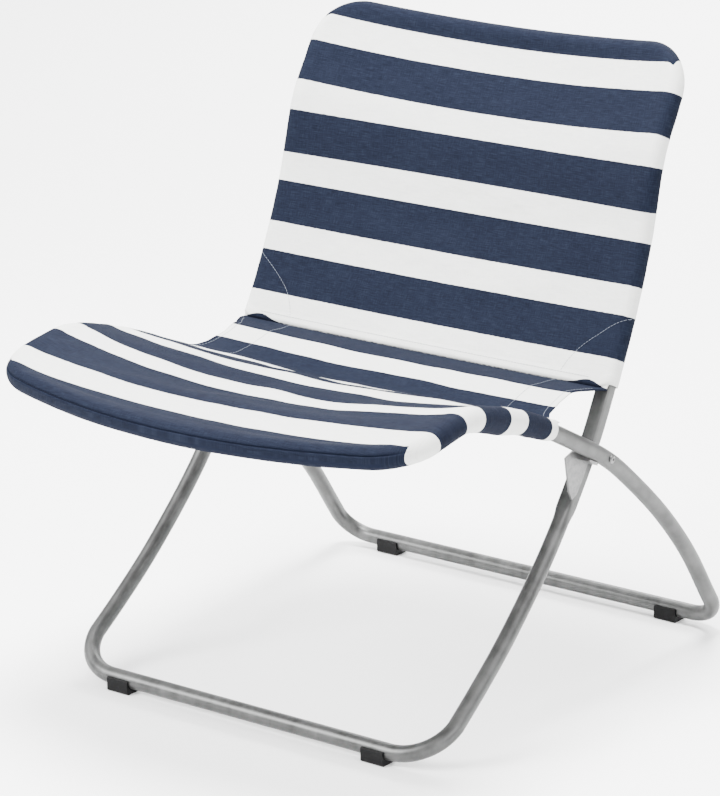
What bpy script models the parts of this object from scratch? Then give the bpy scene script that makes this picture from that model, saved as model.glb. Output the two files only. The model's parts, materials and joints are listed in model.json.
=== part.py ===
"""A folding beach chair: two loops of round steel tube that cross and pivot on each other, dressed
in one striped canvas sling.  Metres, +Z up, the sitter faces -Y, and the origin is on the floor in
the middle of the chair's outline.

The back frame is one loop: front floor rail, legs, back uprights and headrest bar.  The seat frame is
the other: rear floor rail, arched legs, seat sides and front bar.  Each loop is two bent tubes plugged
together on inner spigots.
"""

import math

import bmesh
import bpy
import numpy as np
from mathutils import Matrix

# ---- driving dimensions --------------------------------------------------------------------------
TUBE_R = 0.010  # 20 mm tube
WALL = 0.0015
TUBE_SIDES = 12
GAP = 0.0003  # between pieces that touch
RAIL_Z = 0.0155  # centre of the floor rails, on their glides
RAIL_Y = 0.298  # the two floor rails are at -RAIL_Y and +RAIL_Y

BACK_HALF_FOOT = 0.2655  # half width of the back frame at the floor, to the tube's centre
BACK_HALF_TOP = 0.2580
SEAT_HALF = 0.2880
PIVOT = (0.0190, 0.3015)  # y and z of the pivots, on both tubes' centre lines

# Side views, y and z, from the floor rail to the far end of each loop.
BACK_SIDE = [
    (-RAIL_Y, RAIL_Z),
    (-0.208, 0.076),
    (-0.138, 0.130),
    (-0.056, 0.208),
    PIVOT,
    (0.057, 0.364),
    (0.100, 0.448),
    (0.135, 0.536),
    (0.161, 0.630),
    (0.191, 0.685),
    (0.227, 0.745),
]
SEAT_SIDE = [
    (RAIL_Y, RAIL_Z),
    (0.266, 0.060),
    (0.214, 0.130),
    (0.150, 0.197),
    (0.076, 0.260),
    PIVOT,
    (-0.057, 0.343),
    (-0.121, 0.375),
    (-0.185, 0.400),
    (-0.250, 0.418),
    (-0.295, 0.420),
    (-0.4010, 0.4025),
]
BACK_FOOT_BEND = 0.060  # corner radii of the loops, to the tube's centre
BACK_HEAD_BEND = 0.053
SEAT_FOOT_BEND = 0.040
SEAT_FRONT_BEND = 0.065
HEAD_BOW = 0.032  # the headrest bar bows backwards, square to the headrest
FRONT_BOW = 0.037  # the front bar bows forwards, in the seat's plane

BACK_SPLIT = 0.560  # where each loop's two tubes meet, as a distance along its side from the floor rail
SEAT_SPLIT = 0.585
SPLIT_GAP = 0.0008  # half the hairline between the two tubes
SPIGOT_R = 0.0073
SPIGOT_WALL = 0.0012
SPIGOT_REACH = 0.026
RIVET_R = 0.0016
RIVET_OFFSET = 0.014  # from the split, down the lower tube

COVER_R = 0.0134  # middle of the canvas, from the tube's centre
CANVAS = 0.0016
BACK_SLEEVE = 0.503  # where the canvas sleeves end, as a distance along each side from the floor rail
SEAT_SLEEVE = 0.527
BACK_SAG = 0.020
SEAT_SAG = 0.030
LINING_SPACE = 0.007  # between the two canvas layers, in the middle
ON_THE_TUBE = [0, 0.0012, 0.0045, 0.009, 0.0145, 0.022]  # rows of the canvas, from its rim inwards
TO_THE_MIDDLE = [0.15, 0.4, 0.7, 1.0]  # the rest, as parts of the way to the middle

BOLT_R = 0.0030
BOLT_HEAD_R = 0.0050
BOLT_HEAD = 0.0022
SPACER_R = 0.0080
CAP_R = 0.0052
CAP_LENGTH = 0.0045

STOP_SHEET = 0.0025
STOP_CHEEK = 0.2725  # x of the cheek's inner face, between the two tubes
# y and z round the cheek: the top, the nose, the straight front edge, the tip, then back up the leg.
STOP_OUTLINE = [
    (-0.028, 0.320), (-0.045, 0.315), (-0.036, 0.271), (-0.030, 0.260),
    (-0.020, 0.264), (-0.006, 0.281), (0.004, 0.297), (0.004, 0.303),
]
STOP_LEDGE_REACH = 0.0175  # how far the ledge runs out under the seat tube
STOP_NEAR, STOP_FAR = 0.014, 0.034  # ends of the ledge, in front of the pivot along the seat tube
STOP_WEB_ENDS = ((-0.024, 0.266), (-0.004, 0.291))  # y and z of the web's foot and head, along the leg
STOP_WEB_INNER = 0.2650  # x of the web's inner end, in front of the leg

SCREW_R = 0.0016
SCREW_RECESS = 0.0012
GLIDE_LENGTH = 0.031
GLIDE_HALF = 0.0130
GLIDE_TOP = 0.0180
GLIDE_FLOOR = 0.0052
GLIDE_BEVEL = 0.0022
GLIDE_LIP = 0.001
BACK_GLIDE_X = 0.188
SEAT_GLIDE_X = 0.2155

SEAT_BODY = ("rear_", "seat_", "pivot_rivet", "pivot_cap")  # names that go with the seat frame

# ---- materials -----------------------------------------------------------------------------------


def material(name, colour, roughness, metallic=0.0):
    made = bpy.data.materials.new(name)
    made.use_nodes = True
    shader = made.node_tree.nodes["Principled BSDF"]
    shader.inputs["Base Color"].default_value = (*colour, 1.0)
    shader.inputs["Roughness"].default_value = roughness
    shader.inputs["Metallic"].default_value = metallic
    return made


# ---- curves --------------------------------------------------------------------------------------


def smooth_curve(points, step=0.002):
    """Catmull-Rom curve through the points, and the distance along it at each of its own points."""
    p = np.array(points, float)
    p = np.vstack([2 * p[0] - p[1], p, 2 * p[-1] - p[-2]])
    out = []
    for a, b, c, d in zip(p[:-3], p[1:-2], p[2:-1], p[3:]):
        count = max(2, int(np.linalg.norm(c - b) / step))
        t = np.linspace(0, 1, count, endpoint=False)[:, None]
        out.append(
            0.5 * (2 * b + (c - a) * t + (2 * a - 5 * b + 4 * c - d) * t**2 + (3 * b - a - 3 * c + d) * t**3)
        )
    curve = np.vstack([*out, p[-2]])
    along = np.r_[0, np.cumsum(np.linalg.norm(np.diff(curve, axis=0), axis=1))]
    return curve, along


class Frame:
    """A tube loop as a rounded rectangle (x, s) drawn on a sheet that is bent along the side view.

    s is the distance along the side from the floor rail.  place() carries (x, s, height) into the chair,
    with height
    square to the sheet on the sitter's side.
    """

    def __init__(self, side, half_foot, half_top, foot_bend, far_bend, plane_bow, depth_bow, sitter):
        self.curve, self.along = smooth_curve(side)
        self.length = self.along[-1]
        self.half_foot, self.half_top = half_foot, half_top
        self.foot_bend, self.far_bend = foot_bend, far_bend
        self.plane_bow, self.depth_bow = plane_bow, depth_bow
        self.sitter = sitter

    def half(self, s):
        """Half width of the loop at s."""
        return self.half_foot + (self.half_top - self.half_foot) * np.clip(s / self.length, 0, 1)

    def side(self, s):
        """y and z of the side at s, and the unit tangent there."""
        s = np.asarray(s, float)
        inside = np.clip(s, 0, self.length)
        eps = 0.003
        low, high = np.clip(inside - eps, 0, self.length), np.clip(inside + eps, 0, self.length)
        point = np.stack([np.interp(inside, self.along, self.curve[:, k]) for k in (0, 1)], -1)
        ahead = np.stack([np.interp(high, self.along, self.curve[:, k]) for k in (0, 1)], -1)
        behind = np.stack([np.interp(low, self.along, self.curve[:, k]) for k in (0, 1)], -1)
        tangent = ahead - behind
        tangent /= np.linalg.norm(tangent, axis=-1, keepdims=True)
        return point + tangent * (s - inside)[..., None], tangent

    def place(self, x, s, height=0.0):
        x, s = np.broadcast_arrays(np.asarray(x, float), np.asarray(s, float))
        point, tangent = self.side(s)
        normal = np.stack([-tangent[..., 1], tangent[..., 0]], -1) * self.sitter
        across = np.clip(np.abs(x) / self.half(s), 0, 1)
        near_end = np.clip((s - 0.60 * self.length) / (0.40 * self.length), 0, 1)
        bow = -self.depth_bow * (1 - across**2) * near_end**2
        lifted = point + normal * (np.asarray(height) + bow)[..., None]
        return np.concatenate([x[..., None], lifted], -1)

    def foot_stations(self, end, side_count=8, turn_count=6):
        """x and s on the centre line from the side at end down to the middle of the floor rail."""
        w, r = self.half_foot, self.foot_bend
        stations = [(float(self.half(s)), s) for s in np.linspace(end, r, side_count)]
        for a in np.linspace(0, math.pi / 2, turn_count)[1:]:
            stations.append((w - r + r * math.cos(a), r - r * math.sin(a)))
        return stations + [((w - r) / 2, 0.0), (0.0, 0.0)]

    def hoop_stations(self, start, side_count=7, turn_count=6, bar_count=5):
        """x, s and the outward direction from the side at start up to the middle of the far bar."""
        w, r, bow = self.half_top, self.far_bend, self.plane_bow
        lean = 0.0
        for _ in range(8):
            end_x = w - r + r * math.sin(lean)
            lean = math.atan(2 * bow / end_x)
        side = np.linspace(start, self.length - r, side_count)
        stations = [(float(self.half(s)), s, 1.0, 0.0) for s in side]
        for a in np.linspace(0, math.pi / 2 - lean, turn_count)[1:]:
            c, d = math.cos(a), math.sin(a)
            stations.append((w - r + r * c, self.length - r + r * d, c, d))
        for x in np.linspace(end_x, 0, bar_count)[1:]:
            slope = 2 * bow * x / end_x**2
            s = self.length - r + r * math.cos(lean) + bow * (1 - (x / end_x) ** 2)
            stations.append((x, s, slope / math.hypot(1, slope), 1 / math.hypot(1, slope)))
        return stations

    def path(self, stations):
        """Centre line of a tube through both mirrored halves of its stations."""
        half = [(x, s) for x, s, *_ in stations]
        points = np.array(half + [(-x, s) for x, s in reversed(half[:-1])])
        return self.place(points[:, 0], points[:, 1])


def mirrored(stations):
    return stations + [(-x, s, -nx, ns) for x, s, nx, ns in reversed(stations[:-1])]


# ---- solids --------------------------------------------------------------------------------------


def mesh_object(name, vertices, faces, skin, smooth=True):
    mesh = bpy.data.meshes.new(name)
    mesh.from_pydata([tuple(map(float, v)) for v in vertices], [], faces)
    work = bmesh.new()
    work.from_mesh(mesh)
    bmesh.ops.recalc_face_normals(work, faces=work.faces)
    work.to_mesh(mesh)
    work.free()
    if smooth:
        mesh.shade_smooth()
        mesh.set_sharp_from_angle(angle=math.radians(40))
    made = bpy.data.objects.new(name, mesh)
    bpy.context.scene.collection.objects.link(made)
    if skin:
        mesh.materials.append(skin)
    return made


def rings_along(path, radius, sides=TUBE_SIDES):
    """One ring of points round each point of the path, without twist, its flats facing x."""
    tangents = np.gradient(path, axis=0)
    tangents[0], tangents[-1] = path[1] - path[0], path[-1] - path[-2]
    tangents /= np.linalg.norm(tangents, axis=1)[:, None]
    first = np.cross(tangents[0], (0.13, 0.21, 0.97))
    first /= np.linalg.norm(first)
    rings = []
    for point, tangent in zip(path, tangents):
        first = first - tangent * np.dot(first, tangent)
        first /= np.linalg.norm(first)
        second = np.cross(tangent, first)
        angles = (np.arange(sides) + 0.5) * 2 * math.pi / sides
        rings.append([point + radius * (math.cos(a) * first + math.sin(a) * second) for a in angles])
    return rings


def bridge(count, sides, first):
    """Faces between consecutive rings whose points start at index first."""
    return [
        (first + r * sides + k, first + r * sides + (k + 1) % sides,
         first + (r + 1) * sides + (k + 1) % sides, first + (r + 1) * sides + k)
        for r in range(count - 1)
        for k in range(sides)
    ]


def hollow_tube(name, path, radius, wall, skin):
    """A tube with open ends."""
    outer, inner = rings_along(path, radius), rings_along(path, radius - wall)
    n, sides = len(path), TUBE_SIDES
    vertices = [p for ring in outer for p in ring] + [p for ring in inner for p in ring]
    faces = bridge(n, sides, 0) + bridge(n, sides, n * sides)
    for ring in (0, n - 1):
        for k in range(sides):
            a, b = ring * sides + k, ring * sides + (k + 1) % sides
            faces.append((a, b, b + n * sides, a + n * sides))
    return mesh_object(name, vertices, faces, skin)


def turned(name, profile, skin, sides=16):
    """A solid of revolution about x: profile is (x, radius) pairs from one end to the other."""
    vertices, faces = [], []
    for x, radius in profile:
        for k in range(sides):
            angle = 2 * math.pi * k / sides
            vertices.append((x, radius * math.cos(angle), radius * math.sin(angle)))
    faces = bridge(len(profile), sides, 0)
    last = (len(profile) - 1) * sides
    if profile[0] == profile[-1]:
        vertices = vertices[:last]
        faces = [tuple(i % last for i in face) for face in faces]
    else:
        faces += [tuple(reversed(range(sides))), tuple(range(last, last + sides))]
    return mesh_object(name, vertices, faces, skin)


def prism(name, outline, low, high, skin=None):
    """An outline in (y, z) run along x from low to high."""
    n = len(outline)
    vertices = [(low, y, z) for y, z in outline] + [(high, y, z) for y, z in outline]
    faces = [tuple(range(n)), tuple(range(n, 2 * n))]
    faces += [(k, (k + 1) % n, n + (k + 1) % n, n + k) for k in range(n)]
    return mesh_object(name, vertices, faces, skin, smooth=False)


def cylinder(name, start, end, radius, sides=16):
    """A plain round cutter between two points."""
    path = np.array([start, end], float)
    rings = rings_along(path, radius, sides)
    vertices = [p for ring in rings for p in ring]
    faces = bridge(2, sides, 0) + [tuple(range(sides)), tuple(range(sides, 2 * sides))]
    return mesh_object(name, vertices, faces, None)


def cut(target, cutter, operation="DIFFERENCE"):
    """Applies a Boolean and removes its other object."""
    modifier = target.modifiers.new("cut", "BOOLEAN")
    modifier.object, modifier.operation, modifier.solver = cutter, operation, "EXACT"
    graph = bpy.context.evaluated_depsgraph_get()
    result = bpy.data.meshes.new_from_object(target.evaluated_get(graph))
    target.modifiers.clear()
    target.data = result
    bpy.data.objects.remove(cutter)


# ---- the frames ----------------------------------------------------------------------------------


def spigot_path(frame, split, sign):
    s = np.linspace(split - SPIGOT_REACH, split + SPIGOT_REACH, 5)
    return frame.place(sign * frame.half(s), s)


def plugged_frame(prefix, foot_name, hoop_name, frame, split, foot_spots, steel, zinc):
    """The two tubes of a loop, their spigots and spigot rivets, and the holes for every fastener."""
    foot = hollow_tube(foot_name, frame.path(frame.foot_stations(split - SPLIT_GAP)), TUBE_R, WALL, steel)
    hollow_tube(hoop_name, frame.path(frame.hoop_stations(split + SPLIT_GAP)), TUBE_R, WALL, steel)
    y, z = PIVOT
    for side, sign in (("left", 1), ("right", -1)):
        spigot = hollow_tube(
            f"{prefix}_spigot_{side}", spigot_path(frame, split, sign), SPIGOT_R, SPIGOT_WALL, zinc
        )
        spot = frame.place(sign * frame.half(split - RIVET_OFFSET), split - RIVET_OFFSET)
        wall_in = abs(spot[0]) - TUBE_R
        for part in (foot, spigot):
            hole = cylinder(
                "rivet_hole",
                (sign * (wall_in - 0.004), spot[1], spot[2]),
                (sign * (wall_in + 0.006), spot[1], spot[2]),
                RIVET_R + GAP,
                12,
            )
            cut(part, hole)
        head_r, head_h, shank = 0.0031, 0.0010, 0.0050
        rivet = turned(
            f"{prefix}_spigot_rivet_{side}",
            [(-shank, RIVET_R * 0.8), (-shank + 0.0006, RIVET_R), (GAP, RIVET_R), (GAP, head_r),
             (GAP + head_h * 0.6, head_r * 0.85), (GAP + head_h, head_r * 0.4)],
            zinc,
            12,
        )
        rivet.location = (sign * (wall_in), spot[1], spot[2])
        rivet.rotation_euler = (0, 0, math.pi if sign > 0 else 0)
        pivot_hole = cylinder("pivot_hole", (sign * 0.23, y, z), (sign * 0.31, y, z), BOLT_R + GAP)
        cut(foot, pivot_hole)
        cut(foot, cylinder("screw_hole", (sign * foot_spots[0], foot_spots[1], 0.002),
                           (sign * foot_spots[0], foot_spots[1], 0.012), SCREW_R + GAP, 12))


# ---- pivots, stops and glides --------------------------------------------------------------------

def pivot_set(side, sign, back_half, zinc, plastic):
    """A rivet through both tubes, the spacer between them and the push-on cap inside."""
    y, z = PIVOT
    outside = SEAT_HALF + TUBE_R + GAP
    inside = back_half - TUBE_R - GAP
    end = inside - CAP_LENGTH * 0.7
    rivet = turned(
        f"pivot_rivet_{side}",
        [(end, BOLT_R * 0.8), (end + 0.0008, BOLT_R), (outside, BOLT_R), (outside, BOLT_HEAD_R),
         (outside + BOLT_HEAD * 0.45, BOLT_HEAD_R), (outside + BOLT_HEAD, BOLT_HEAD_R * 0.62),
         (outside + BOLT_HEAD, BOLT_R * 0.55), (outside + BOLT_HEAD * 0.3, BOLT_R * 0.55)],
        zinc,
    )
    bore = BOLT_R + GAP
    spacer_low, spacer_high = back_half + TUBE_R + GAP, SEAT_HALF - TUBE_R - GAP
    spacer = turned(
        f"pivot_spacer_{side}",
        [(spacer_low, bore), (spacer_low, SPACER_R), (spacer_high, SPACER_R), (spacer_high, bore),
         (spacer_low, bore)],
        plastic,
    )
    cap = turned(
        f"pivot_cap_{side}",
        [(inside, bore), (inside, CAP_R), (inside - 0.0012, CAP_R), (inside - CAP_LENGTH, CAP_R * 0.62),
         (inside - CAP_LENGTH, CAP_R * 0.2), (inside - CAP_LENGTH + 0.0008, CAP_R * 0.2),
         (inside - CAP_LENGTH + 0.0008, bore), (inside, bore)],
        zinc,
    )
    for part in (rivet, spacer, cap):
        part.location = (0, y, z)
        if sign < 0:
            part.rotation_euler = (0, 0, math.pi)


def web_outline():
    """A strip of the bracket's sheet, on the front side of the line between the web's ends."""
    (foot_y, foot_z), (head_y, head_z) = STOP_WEB_ENDS
    share = STOP_SHEET / math.hypot(head_y - foot_y, head_z - foot_z)
    out_y, out_z = (foot_z - head_z) * share, (head_y - foot_y) * share
    return [*STOP_WEB_ENDS, (head_y + out_y, head_z + out_z), (foot_y + out_y, foot_z + out_z)]


def under_seat_tube(ahead, depth):
    """y and z of a point in front of the pivot along the seat tube, at a depth below the tube's centre."""
    slope = math.atan2(SEAT_SIDE[6][1] - PIVOT[1], PIVOT[0] - SEAT_SIDE[6][0])
    y = PIVOT[0] - ahead * math.cos(slope) - depth * math.sin(slope)
    return y, PIVOT[1] + ahead * math.sin(slope) - depth * math.cos(slope)


def stop_bracket(side, sign, frame, zinc):
    """A folded steel stop on the leg: an outer cheek, a ledge under the seat tube and a web on the leg."""
    top = TUBE_R + GAP
    ledge = [
        under_seat_tube(STOP_NEAR, top),
        under_seat_tube(STOP_FAR, top),
        under_seat_tube(STOP_FAR, top + STOP_SHEET),
        under_seat_tube(STOP_NEAR, top + STOP_SHEET),
    ]
    outer = STOP_CHEEK + STOP_SHEET
    bracket = prism(f"stop_bracket_{side}", STOP_OUTLINE, STOP_CHEEK, outer, zinc)
    cut(bracket, prism("ledge", ledge, STOP_CHEEK, STOP_CHEEK + STOP_LEDGE_REACH), "UNION")
    cut(bracket, prism("web", web_outline(), STOP_WEB_INNER, STOP_CHEEK + STOP_SHEET / 2), "UNION")
    s = np.linspace(0.28, 0.52, 17)
    rings = rings_along(frame.place(frame.half(s), s), TUBE_R + 3 * GAP)
    vertices = [p for ring in rings for p in ring]
    faces = bridge(len(s), TUBE_SIDES, 0)
    faces += [tuple(range(TUBE_SIDES)), tuple(range(len(vertices) - TUBE_SIDES, len(vertices)))]
    cut(bracket, mesh_object("leg", vertices, faces, None))
    if sign < 0:
        bracket.data.transform(Matrix.Scale(-1, 4, (1, 0, 0)))
        bracket.data.flip_normals()


def glide(name, x, y, plastic):
    """A black plastic saddle under a floor rail, hollowed to the tube, with a countersunk hole from below."""
    half = GLIDE_LENGTH / 2
    seat_r = TUBE_R + GAP
    lip = math.asin((GLIDE_TOP - RAIL_Z) / seat_r)
    turn = np.linspace(lip, -math.pi - lip, 13)
    saddle = [(seat_r * math.cos(a), RAIL_Z + seat_r * math.sin(a)) for a in turn]
    outline = [
        (-GLIDE_HALF + GLIDE_BEVEL, 0),
        (GLIDE_HALF - GLIDE_BEVEL, 0),
        (GLIDE_HALF, GLIDE_BEVEL),
        (GLIDE_HALF, GLIDE_TOP - GLIDE_LIP),
        (GLIDE_HALF - GLIDE_LIP, GLIDE_TOP),
        *saddle,
        (-GLIDE_HALF + GLIDE_LIP, GLIDE_TOP),
        (-GLIDE_HALF, GLIDE_TOP - GLIDE_LIP),
        (-GLIDE_HALF, GLIDE_BEVEL),
    ]
    made = prism(name, outline, -half, half, plastic)
    cut(made, cylinder("shank_hole", (0, 0, -0.001), (0, 0, 0.012), SCREW_R + GAP, 16))
    cut(made, cylinder("head_hole", (0, 0, -0.001), (0, 0, SCREW_RECESS + 0.0024), 0.0038, 16))
    made.location = (x, y, 0)


def glide_screw(name, x, y, zinc):
    """A pan-head screw that holds a glide to its rail from below."""
    head = SCREW_RECESS
    seat = SCREW_RECESS + 0.0024 - GAP
    screw = turned(
        name,
        [(head, 0.0026), (head + 0.0005, 0.0034), (seat, 0.0034), (seat, SCREW_R), (0.0098, SCREW_R),
         (0.0112, 0.0004)],
        zinc,
        16,
    )
    screw.rotation_euler = (0, -math.pi / 2, 0)
    screw.location = (x, y, 0)


# ---- the canvas ----------------------------------------------------------------------------------

def dip(frame, x, s, sleeve, sag):
    """How far the canvas sags below the top of the tubes."""
    across = np.clip(np.abs(x) / (frame.half(s) - 0.006), 0, 1)
    reach = frame.length + frame.plane_bow - 0.006 - sleeve
    along = np.clip((s - sleeve) / reach, 0, 1)
    return sag * (1 - across**2) * (1 - along**3)


def cover(name, frame, sleeve, sag, skin):
    """Two layers of canvas sewn into a pillowcase over the end of a loop, open at the sleeve end."""
    stations = mirrored(frame.hoop_stations(sleeve))
    spots, inside = [], []
    for d in ON_THE_TUBE:
        spots.append([(x + nx * (COVER_R - d), s + ns * (COVER_R - d)) for x, s, nx, ns in stations])
        inside.append(np.full(len(stations), d - COVER_R))
    last = np.array(spots[-1])
    inner = np.array([(0.3 * x, sleeve + 0.72 * (s - sleeve)) for x, s, *_ in stations])
    for f in TO_THE_MIDDLE:
        spots.append(last + f * (inner - last))
        inside.append(inside[len(ON_THE_TUBE) - 1] + f * np.linalg.norm(inner - last, axis=1))
    rings, count = len(spots), len(stations)
    vertices, number = [], {}
    for face in (1, -1):
        for j, ring in enumerate(spots):
            x, s = np.array(ring).T
            height = np.sqrt(COVER_R**2 - np.clip(-inside[j], 0, COVER_R) ** 2)
            close = (2 * COVER_R - LINING_SPACE) * np.clip((inside[j] - 0.012) / 0.05, 0, 1)
            sunk = dip(frame, x, s, sleeve, sag) * np.clip(inside[j] / 0.015, 0, 1)
            lift = height - sunk if face > 0 else close - height - sunk
            for k, point in enumerate(frame.place(x, s, lift)):
                if j == 0 and face < 0:
                    number[face, j, k] = number[1, j, k]
                    continue
                number[face, j, k] = len(vertices)
                vertices.append(point)
    faces = []
    for f in (1, -1):
        for j in range(rings - 1):
            for k in range(count - 1):
                corners = (j, k), (j, k + 1), (j + 1, k + 1), (j + 1, k)
                faces.append(tuple(number[f, row, column] for row, column in corners))
        j = rings - 1
        for k in range(count // 2 - 1):
            m = count - 1 - k
            faces.append((number[f, j, k], number[f, j, m], number[f, j, m - 1], number[f, j, k + 1]))
        top = count // 2
        faces.append((number[f, j, top - 1], number[f, j, top + 1], number[f, j, top]))
    made = mesh_object(name, vertices, faces, skin)
    thick = made.modifiers.new("canvas", "SOLIDIFY")
    thick.thickness, thick.offset = CANVAS, 0
    thick.use_even_offset = True
    return made


def sling_bridge(back, seat, skin):
    """The single layer of canvas across the crease, between the two pillowcases, with hollowed side edges."""
    across = np.linspace(-1, 1, 17)
    rows, vertices = 9, []
    clear = 0.0016
    t_rows = np.linspace(0, 1, rows)
    for t in t_rows:
        hollow = 0.030 * math.sin(math.pi * t)
        line = []
        for u in across:
            ends = []
            mouths = ((back, BACK_SLEEVE - clear, BACK_SAG), (seat, SEAT_SLEEVE - clear, SEAT_SAG))
            for frame, sleeve, sag in mouths:
                x = u * (float(frame.half(sleeve)) - 0.004)
                lift = COVER_R - float(dip(frame, x, sleeve, sleeve, sag))
                ends.append((frame.place(x, sleeve, lift), frame.side(sleeve)[1]))
            (p0, t0), (p1, t1) = ends
            reach = 0.60 * np.linalg.norm(p1 - p0)
            m0 = np.array([0, *(-t0)]) * reach * 1.4
            m1 = np.array([0, *t1]) * reach * 1.4
            h = (2 * t**3 - 3 * t**2 + 1, t**3 - 2 * t**2 + t, -2 * t**3 + 3 * t**2, t**3 - t**2)
            point = h[0] * p0 + h[1] * m0 + h[2] * p1 + h[3] * m1
            point[0] *= 1 - hollow / 0.27 * abs(u)
            line.append(point)
        vertices += line
    n = len(across)
    faces = [
        (j * n + i, j * n + i + 1, (j + 1) * n + i + 1, (j + 1) * n + i)
        for j in range(rows - 1)
        for i in range(n - 1)
    ]
    made = mesh_object("sling_bridge", vertices, faces, skin)
    thick = made.modifiers.new("canvas", "SOLIDIFY")
    thick.thickness, thick.offset = CANVAS, 0
    return made


# ---- the chair -----------------------------------------------------------------------------------

def pivot_empty(name, location, parent=None):
    made = bpy.data.objects.new(name, None)
    bpy.context.scene.collection.objects.link(made)
    made.location = location
    made.parent = parent
    return made


def stand_on_origin():
    """Moves the chair so that its origin is on the floor under the middle of its outline."""
    bpy.context.view_layer.update()
    solids = [o for o in bpy.data.objects if o.type == "MESH"]
    ys = [(o.matrix_world @ v.co).y for o in solids for v in o.data.vertices]
    shift = (min(ys) + max(ys)) / 2
    for solid in solids:
        solid.location.y -= shift
    return shift


def hang_on(empty, solids):
    """Parents the solids to an empty and leaves them where they are."""
    bpy.context.view_layer.update()
    for solid in solids:
        solid.parent = empty
        solid.matrix_parent_inverse = empty.matrix_world.inverted()


def main():
    for old in list(bpy.data.objects):
        bpy.data.objects.remove(old)
    steel = material("galvanised_tube", (0.56, 0.57, 0.57), 0.32, 1.0)
    zinc = material("zinc_fittings", (0.62, 0.63, 0.63), 0.38, 1.0)
    black = material("black_plastic", (0.012, 0.012, 0.012), 0.45)
    nylon = material("grey_nylon", (0.30, 0.30, 0.30), 0.5)
    canvas = material("striped_canvas", (0.06, 0.10, 0.22), 0.85)

    back = Frame(BACK_SIDE, BACK_HALF_FOOT, BACK_HALF_TOP, BACK_FOOT_BEND, BACK_HEAD_BEND, 0.0, HEAD_BOW, 1)
    seat = Frame(SEAT_SIDE, SEAT_HALF, SEAT_HALF, SEAT_FOOT_BEND, SEAT_FRONT_BEND, FRONT_BOW, 0.0, -1)
    front_feet, rear_feet = (BACK_GLIDE_X, -RAIL_Y), (SEAT_GLIDE_X, RAIL_Y)
    plugged_frame("back", "front_leg_tube", "back_hoop_tube", back, BACK_SPLIT, front_feet, steel, zinc)
    plugged_frame("seat", "rear_leg_tube", "seat_hoop_tube", seat, SEAT_SPLIT, rear_feet, steel, zinc)

    pivot_s = float(np.interp(PIVOT[1], back.curve[:, 1], back.along))
    for side, sign in (("left", 1), ("right", -1)):
        pivot_set(side, sign, float(back.half(pivot_s)), zinc, nylon)
        stop_bracket(side, sign, back, zinc)
        glide(f"front_glide_{side}", sign * BACK_GLIDE_X, -RAIL_Y, black)
        glide(f"rear_glide_{side}", sign * SEAT_GLIDE_X, RAIL_Y, black)
        glide_screw(f"front_glide_screw_{side}", sign * BACK_GLIDE_X, -RAIL_Y, zinc)
        glide_screw(f"rear_glide_screw_{side}", sign * SEAT_GLIDE_X, RAIL_Y, zinc)

    cover("back_cover", back, BACK_SLEEVE, BACK_SAG, canvas)
    cover("seat_cover", seat, SEAT_SLEEVE, SEAT_SAG, canvas)
    sling_bridge(back, seat, canvas)

    shift = stand_on_origin()
    chair = pivot_empty("chair", (0, 0, 0))
    fold = pivot_empty("fold_axis", (0, PIVOT[0] - shift, PIVOT[1]), chair)
    solids = [o for o in bpy.data.objects if o.type == "MESH"]
    hang_on(fold, [o for o in solids if o.name.startswith(SEAT_BODY)])
    hang_on(chair, [o for o in solids if not o.name.startswith(SEAT_BODY)])


main()
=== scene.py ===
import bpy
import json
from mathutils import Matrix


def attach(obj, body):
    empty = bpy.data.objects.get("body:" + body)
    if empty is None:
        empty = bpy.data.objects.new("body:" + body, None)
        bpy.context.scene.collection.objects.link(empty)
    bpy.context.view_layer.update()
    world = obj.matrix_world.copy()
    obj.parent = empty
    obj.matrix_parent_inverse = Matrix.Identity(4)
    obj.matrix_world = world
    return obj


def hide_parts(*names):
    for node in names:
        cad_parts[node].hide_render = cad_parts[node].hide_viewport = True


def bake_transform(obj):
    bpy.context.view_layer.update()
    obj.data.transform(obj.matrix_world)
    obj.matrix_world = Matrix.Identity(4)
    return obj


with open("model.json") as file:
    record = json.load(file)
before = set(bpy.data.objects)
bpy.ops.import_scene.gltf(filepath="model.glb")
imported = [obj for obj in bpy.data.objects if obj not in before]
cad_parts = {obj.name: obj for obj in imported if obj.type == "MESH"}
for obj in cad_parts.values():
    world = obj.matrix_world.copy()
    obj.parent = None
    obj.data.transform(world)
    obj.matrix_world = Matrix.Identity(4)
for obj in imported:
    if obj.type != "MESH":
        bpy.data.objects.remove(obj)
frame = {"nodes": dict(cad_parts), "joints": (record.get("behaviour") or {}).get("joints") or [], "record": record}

"""The looks of the folding beach chair: smooth tubes, pressed joints and one sewn, striped canvas sling."""

import json
import math

import bmesh
import bpy
import numpy as np
from mathutils import Vector, noise

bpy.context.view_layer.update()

# ---- the frame's own sizes, as the CAD model has them ---------------------------------------------
TUBE_R = 0.010
RAIL_Z = 0.0155
RAIL_Y = 0.298
PIVOT = (0.0190, 0.3015)
SHIFT = frame["joints"][0]["pos_m"][1] - PIVOT[0]  # the CAD origin is in the middle of the chair's outline
BACK_SPLIT = 0.560
SEAT_SPLIT = 0.585
BACK_SIDE = [
    (-RAIL_Y, RAIL_Z), (-0.208, 0.076), (-0.138, 0.130), (-0.056, 0.208), PIVOT, (0.057, 0.364),
    (0.100, 0.448), (0.135, 0.536), (0.161, 0.630), (0.191, 0.685), (0.227, 0.745),
]
SEAT_SIDE = [
    (RAIL_Y, RAIL_Z), (0.266, 0.060), (0.214, 0.130), (0.150, 0.197), (0.076, 0.260), PIVOT,
    (-0.057, 0.343), (-0.121, 0.375), (-0.185, 0.400), (-0.250, 0.418), (-0.295, 0.420),
    (-0.4010, 0.4025),
]

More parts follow.
